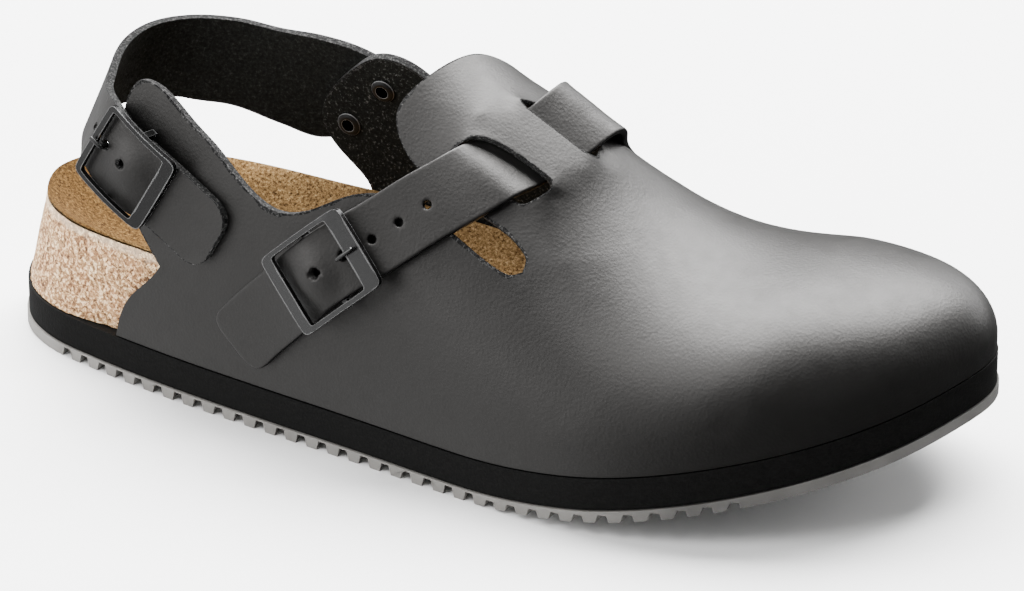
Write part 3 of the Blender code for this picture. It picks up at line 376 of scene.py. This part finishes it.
def copy_of(node, *looks):
    """Merged copy of a node's mesh, to be refined"""
    piece = bpy.data.objects.new(node + "_made", frame["nodes"][node].data.copy())
    bpy.context.scene.collection.objects.link(piece)
    piece.data.materials.clear()
    for look in looks:
        piece.data.materials.append(look)
    only(piece)
    bpy.ops.mesh.customdata_custom_splitnormals_clear()
    bpy.ops.object.mode_set(mode="EDIT")
    bpy.ops.mesh.select_all(action="SELECT")
    bpy.ops.mesh.remove_doubles(threshold=MERGE)
    bpy.ops.mesh.tris_convert_to_quads(face_threshold=QUAD_TURN, shape_threshold=QUAD_SHAPE)
    bpy.ops.object.mode_set(mode="OBJECT")
    return piece


def smooth_part(start, seen):
    """Faces reached from one face without crossing a sharp edge"""
    seen.add(start.index)
    part, todo = [], [start]
    while todo:
        face = todo.pop()
        part.append(face)
        for edge in face.edges:
            if len(edge.link_faces) != 2 or edge.calc_face_angle() > SIDE_TURN:
                continue
            for other in edge.link_faces:
                if other.index not in seen:
                    seen.add(other.index)
                    todo.append(other)
    return part


def sides(piece, middle):
    """Gives the outer side, the inner side and the cut edge of a sheet their own slots"""
    mesh = bmesh.new()
    mesh.from_mesh(piece.data)
    mesh.faces.ensure_lookup_table()
    seen = set()
    parts = []
    for face in mesh.faces:
        if face.index not in seen:
            parts.append(smooth_part(face, seen))
    parts.sort(key=lambda part: -sum(face.calc_area() for face in part))
    for number, part in enumerate(parts):
        outwards = sum(
            face.calc_area() * face.normal.dot((face.calc_center_median() - middle).normalized())
            for face in part
        )
        slot = RIM if number > 1 else (OUTER if outwards > 0 else INNER)
        for face in part:
            face.material_index = slot
    mesh.to_mesh(piece.data)
    mesh.free()


def crease(piece, turn):
    """Keeps the edges sharp where the surface turns more than an angle"""
    mesh = bmesh.new()
    mesh.from_mesh(piece.data)
    layer = mesh.edges.layers.float.get("crease_edge") or mesh.edges.layers.float.new("crease_edge")
    for edge in mesh.edges:
        if len(edge.link_faces) == 2 and edge.calc_face_angle() > turn:
            edge[layer] = 1.0
    mesh.to_mesh(piece.data)
    mesh.free()


def uncrease(piece):
    """Lets all edges be rounded again"""
    mesh = bmesh.new()
    mesh.from_mesh(piece.data)
    layer = mesh.edges.layers.float.get("crease_edge")
    if layer:
        mesh.edges.layers.float.remove(layer)
    mesh.to_mesh(piece.data)
    mesh.free()


def refine(piece, turn, rim=0.0, rim_slot=-1):
    """Smooths a coarse piece, its edges sharper than a turn in degrees bevelled by the rim's width"""
    crease(piece, math.radians(turn))
    apply(piece, "SUBSURF", levels=1, render_levels=1)
    uncrease(piece)
    if rim:
        sharper = {"limit_method": "ANGLE", "angle_limit": math.radians(turn + RIM_TURN_MORE)}
        apply(piece, "BEVEL", width=rim, segments=2, material=rim_slot, **sharper)
    apply(piece, "SUBSURF", levels=1, render_levels=1)
    only(piece)
    bpy.ops.object.shade_smooth()


def fade(share):
    """1 at the middle, 0 from a share of 1 outwards, soft at both ends"""
    return (1.0 - share * share) ** 2 if share < 1.0 else 0.0


def pull(piece, place, reach, shift):
    """Soft pull of all that lies within reach of a place"""
    for vertex in piece.data.vertices:
        vertex.co += Vector(shift) * fade((vertex.co - Vector(place)).length / reach)


def swell(piece, place, reach, height):
    """Soft swelling of the outer side round a place"""
    outer = {
        index
        for face in piece.data.polygons
        if face.material_index == OUTER
        for index in face.vertices
    }
    normals = {index: piece.data.vertices[index].normal.copy() for index in outer}
    for index in outer:
        vertex = piece.data.vertices[index]
        vertex.co += normals[index] * height * fade((vertex.co - Vector(place)).length / reach)


def trough(piece, start, run, width, depth):
    """Soft crease along a run, deepest at its start and rounded just behind it"""
    shifts = {}
    for vertex in piece.data.vertices:
        along = (vertex.co - start).dot(run) / run.length_squared
        if TROUGH_BACK_END < along < 1.0:
            along = max(along, 0.0)
            aside = (vertex.co - start - run * along).length
            shifts[vertex.index] = vertex.normal * -depth * (1.0 - along) * fade(aside / width)
    for index, shift in shifts.items():
        piece.data.vertices[index].co += shift


def soften(piece, low, high, passes):
    """Evens out the outer side inside a box, its rims left as they are"""
    mesh = bmesh.new()
    mesh.from_mesh(piece.data)
    inside = [
        vertex
        for vertex in mesh.verts
        if all(face.material_index == OUTER for face in vertex.link_faces)
        and all(a < value < b for a, value, b in zip(low, vertex.co, high))
    ]
    all_ways = {"use_axis_x": True, "use_axis_y": True, "use_axis_z": True}
    for _ in range(passes):
        bmesh.ops.smooth_vert(mesh, verts=inside, factor=0.5, **all_ways)
    mesh.to_mesh(piece.data)
    mesh.free()


def done(piece, node):
    """Puts a finished piece in the node's place"""
    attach(piece, "root")
    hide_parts(node)


# Upper: softened round the bridge, with four fine creases at the near slit's corner

LEATHER_TURN = 45.0
UPPER_MIDDLE = Vector((0.02, 0.0, 0.03))
UPPER_RIM = 0.00045
SOLE_EDGE_TOP = 0.042
SOLE_EDGE_UPWARDS = 0.2
BRIDGE_LOW = (-0.02, -0.030, 0.066)
BRIDGE_HIGH = (0.056, 0.030, 0.110)
BRIDGE_PASSES = 48
# Both ends of the far slit, drawn up to the strap
SLIT_END_REACH = 0.0050
FAR_SLIT_ENDS = (
    ((0.0115, 0.0050, 0.0945), (0.0024, 0.0, -0.0012)),
    ((0.0340, 0.0070, 0.0808), (-0.0024, 0.0, 0.0012)),
)
SLIT_CORNER = Vector((0.0276, -0.0148, 0.0790))
CREASE_RUNS = (
    Vector((0.0060, 0.0022, -0.0024)),
    Vector((0.0066, 0.0002, -0.0034)),
    Vector((0.0062, -0.0020, -0.0044)),
    Vector((0.0044, -0.0036, -0.0046)),
)
CREASE_WIDTH = 0.0011
CREASE_DEPTH = 0.00035


def make_upper():
    upper = copy_of("upper", HIDE, FLESH, EDGE)
    sides(upper, UPPER_MIDDLE)
    refine(upper, LEATHER_TURN, UPPER_RIM, RIM)
    # The edge that is glued down at the sole shows no raw fibres
    for face in upper.data.polygons:
        if face.material_index != RIM or face.center.z >= SOLE_EDGE_TOP:
            continue
        if face.normal.z < SOLE_EDGE_UPWARDS:
            face.material_index = OUTER
    soften(upper, BRIDGE_LOW, BRIDGE_HIGH, BRIDGE_PASSES)
    for place, shift in FAR_SLIT_ENDS:
        pull(upper, place, SLIT_END_REACH, shift)
    for run in CREASE_RUNS:
        trough(upper, SLIT_CORNER, run, CREASE_WIDTH, CREASE_DEPTH)
    done(upper, "upper")


# Straps: the leather swells inside each buckle's frame

Swelling = namedtuple("Swelling", "place reach height")
Pull = namedtuple("Pull", "place reach shift")

INSTEP_MIDDLE = Vector((-0.01, 0.0, 0.02))
INSTEP_RIM = 0.0005
INSTEP_SWELLING = Swelling((-0.0295, -0.0436, 0.0530), 0.0105, 0.0016)
# Front edge pressed on the far side of the vamp, then the fold drawn towards the bridge
INSTEP_PULLS = (
    Pull((0.0344, 0.0315, 0.0720), 0.0160, (-0.0030, -0.0010, -0.0008)),
    Pull((0.0270, 0.0180, 0.0875), 0.0240, (-0.0014, -0.0004, -0.0008)),
)

HEEL_MIDDLE = Vector((-0.07, 0.0, 0.06))
HEEL_RIM = 0.0004
HEEL_SWELLING = Swelling((-0.0915, -0.0322, 0.0665), 0.0105, 0.0015)
# Lower edge in the buckle, lower edge on the far side behind and at the ear, then the front
# and the lower corner of the near end
HEEL_PULLS = (
    Pull((-0.0967, -0.0322, 0.0565), 0.0120, (-0.0006, 0.0, -0.0011)),
    Pull((-0.0867, 0.0330, 0.0548), 0.0200, (0.0, 0.0, 0.0032)),
    Pull((-0.0665, 0.0366, 0.0542), 0.0130, (0.0, 0.0, -0.0014)),
    Pull((-0.0580, -0.0353, 0.0615), 0.0065, (-0.0016, 0.0, -0.0009)),
    Pull((-0.0679, -0.0356, 0.0421), 0.0065, (-0.0004, 0.0, 0.0018)),
)


def make_strap(node, looks, middle, rim, swelling, pulls):
    strap = copy_of(node, *looks)
    sides(strap, middle)
    refine(strap, LEATHER_TURN, rim, RIM)
    swell(strap, *swelling)
    for one in pulls:
        pull(strap, *one)
    done(strap, node)


# Layers below the foot

BED_TURN = 40.0
BED_RIM = 0.0008
CRUMB_SIZE = 0.0022
CRUMB_RELIEF = 0.0006
LINING_TURN = 45.0
LINING_RIM = 0.0003
MIDSOLE_TURN = 40.0
MIDSOLE_RIM = 0.0006
GROOVE_ROOF_LOW = 0.0019
GROOVE_ROOF_HIGH = 0.0023
GROOVE_DEEPER = 0.0007
DEEP_GROOVES_END = 0.04
TREAD_TURN = math.radians(30.0)


def make_footbed():
    bed = copy_of("footbed", CORK)
    refine(bed, BED_TURN, BED_RIM)
    crumbs = bpy.data.textures.new("crumbs", "CLOUDS")
    crumbs.noise_scale = CRUMB_SIZE
    crumbs.noise_depth = 2
    apply(bed, "DISPLACE", texture=crumbs, texture_coords="LOCAL", strength=CRUMB_RELIEF, mid_level=0.5)
    done(bed, "footbed")


def make_layer(node, look, turn, rim):
    layer = copy_of(node, look)
    refine(layer, turn, rim)
    done(layer, node)


def make_outsole():
    """Deepens the grooves behind the ball"""
    tread = copy_of("outsole", RUBBER)
    for vertex in tread.data.vertices:
        if GROOVE_ROOF_LOW < vertex.co.z < GROOVE_ROOF_HIGH and vertex.co.x < DEEP_GROOVES_END:
            vertex.co.z += GROOVE_DEEPER
    only(tread)
    bpy.ops.object.shade_smooth_by_angle(angle=TREAD_TURN)
    done(tread, "outsole")


# Buckles, their bevelled rims painted lighter as highlights, and their prongs

METAL_TURN = 40.0
FRAME_RIM = 0.00045


def make_metal(node, paint, rim):
    metal = copy_of(node, paint, PAINTED_RIM_HIGHLIGHT)
    # Bevelled rims take the second slot, the lighter lacquer: painted highlight
    refine(metal, METAL_TURN, rim, 1)
    done(metal, node)


# Rivets: tubes with a wide bore whose inside is painted as shade, and rims painted lighter as highlight
# rings

RIVET_TURN = 35.0
RIVET_RIM = 0.00020
FLANGE_RADIUS = 0.0036
BORE_RADIUS = 0.0010
BORE_WIDENING = 0.00085
BORE_SLOT = 2
FACES_THE_AXIS = -0.7


def make_rivet(node, middle, axis):
    rivet = copy_of(node, DULL, PAINTED_RING_HIGHLIGHT, PAINTED_BORE_SHADE)
    for vertex in rivet.data.vertices:
        out = (vertex.co - middle) - (vertex.co - middle).project(axis)
        share = max(0.0, (FLANGE_RADIUS - out.length) / (FLANGE_RADIUS - BORE_RADIUS))
        vertex.co += out.normalized() * BORE_WIDENING * share
    # Bevelled rims take the second slot, the lighter lacquer: painted highlight rings
    refine(rivet, RIVET_TURN, RIVET_RIM, 1)
    for face in rivet.data.polygons:
        out = (face.center - middle) - (face.center - middle).project(axis)
        # Faces inside the bore take the black lacquer without reflection: painted shade
        if face.normal.dot(out.normalized()) < FACES_THE_AXIS:
            face.material_index = BORE_SLOT
    done(rivet, node)


make_upper()
make_strap(
    "instep_strap", (HIDE, SMOOTH_FLESH, HIDE), INSTEP_MIDDLE, INSTEP_RIM, INSTEP_SWELLING, INSTEP_PULLS
)
make_strap("heel_strap", (HIDE, SMOOTH_FLESH, EDGE), HEEL_MIDDLE, HEEL_RIM, HEEL_SWELLING, HEEL_PULLS)
make_footbed()
make_layer("insole_lining", SUEDE, LINING_TURN, LINING_RIM)
make_layer("midsole", FOAM, MIDSOLE_TURN, MIDSOLE_RIM)
make_outsole()
make_metal("instep_buckle", PAINT, FRAME_RIM)
# The heel buckle and its prong take the darker copy of the lacquer: painted shade
make_metal("heel_buckle", SHADED_LACQUER, FRAME_RIM)
make_metal("instep_prong", PAINT, 0.0)
make_metal("heel_prong", SHADED_LACQUER, 0.0)
make_rivet("front_rivet", Vector((-0.04389, 0.03033, 0.07569)), Vector((0.0172, 0.9763, 0.2158)))
make_rivet("rear_rivet", Vector((-0.05585, 0.03317, 0.06159)), Vector((0.0294, 0.9905, 0.1341)))


# Floor

FLOOR_SIZE = 12.0
PAPER = (0.93, 0.93, 0.93)


def lay_floor():
    """Plain white paper, left out of the leather's reflections"""
    bpy.ops.mesh.primitive_plane_add(size=FLOOR_SIZE, location=(0.0, 0.0, 0.0))
    floor = bpy.context.active_object
    floor.name = "floor"
    paper = Look("white_paper", colour=PAPER, roughness=0.9)
    paper.drive("Base Color", paper.ramp(paper.noise(scale=3.0, detail=2.0), ((0.3, 0.925), (0.7, 0.935))))
    paper.set(Specular_IOR_Level=0.0)
    floor.data.materials.append(paper.material)
    floor.visible_glossy = False


lay_floor()


# Lights: five soft boxes aimed at the clog

Softbox = namedtuple("Softbox", "name place width height power")
SOFTBOX_AIM = Vector((0.0, 0.0, 0.05))
SOFTBOXES = (
    Softbox("overhead", (-0.40, 1.02, 1.98), 3.2, 1.75, 500.0),
    Softbox("back_low", (0.9, 2.2, 0.75), 2.4, 1.0, 40.0),
    Softbox("left_front", (-1.80, -1.70, 0.95), 1.8, 1.7, 36.0),
    Softbox("top_front", (-0.30, -1.00, 1.95), 1.2, 0.9, 26.0),
    Softbox("right_front", (2.00, -1.50, 0.60), 1.0, 0.8, 2.5),
)


def hang(box):
    light = bpy.data.lights.new(box.name, "AREA")
    light.shape = "RECTANGLE"
    light.size = box.width
    light.size_y = box.height
    light.energy = box.power
    lamp = bpy.data.objects.new(box.name, light)
    bpy.context.scene.collection.objects.link(lamp)
    lamp.location = box.place
    lamp.rotation_mode = "QUATERNION"
    lamp.rotation_quaternion = (SOFTBOX_AIM - Vector(box.place)).to_track_quat("-Z", "Y")


for box in SOFTBOXES:
    hang(box)


# Surroundings: a grey room that brightens to the near left

BRIGHT_SIDE = (-0.90, -0.42, -0.12)
ROOM_GREYS = ((0.10, 0.06), (0.85, 1.0))
ROOM_STRENGTH = 1.85


def light_room():
    world = bpy.data.worlds.new("studio")
    world.use_nodes = True
    room = world.node_tree
    toward = room.nodes.new("ShaderNodeVectorMath")
    toward.operation = "DOT_PRODUCT"
    toward.inputs[1].default_value = BRIGHT_SIDE
    room.links.new(room.nodes.new("ShaderNodeTexCoord").outputs["Generated"], toward.inputs[0])
    shade = room.nodes.new("ShaderNodeValToRGB")
    shade.color_ramp.interpolation = "EASE"
    for element, (position, grey) in zip(shade.color_ramp.elements, ROOM_GREYS):
        element.position = position
        element.color = (grey, grey, grey, 1.0)
    room.links.new(toward.outputs["Value"], shade.inputs["Fac"])
    room.links.new(shade.outputs["Color"], room.nodes["Background"].inputs["Color"])
    room.nodes["Background"].inputs["Strength"].default_value = ROOM_STRENGTH
    bpy.context.scene.world = world


light_room()
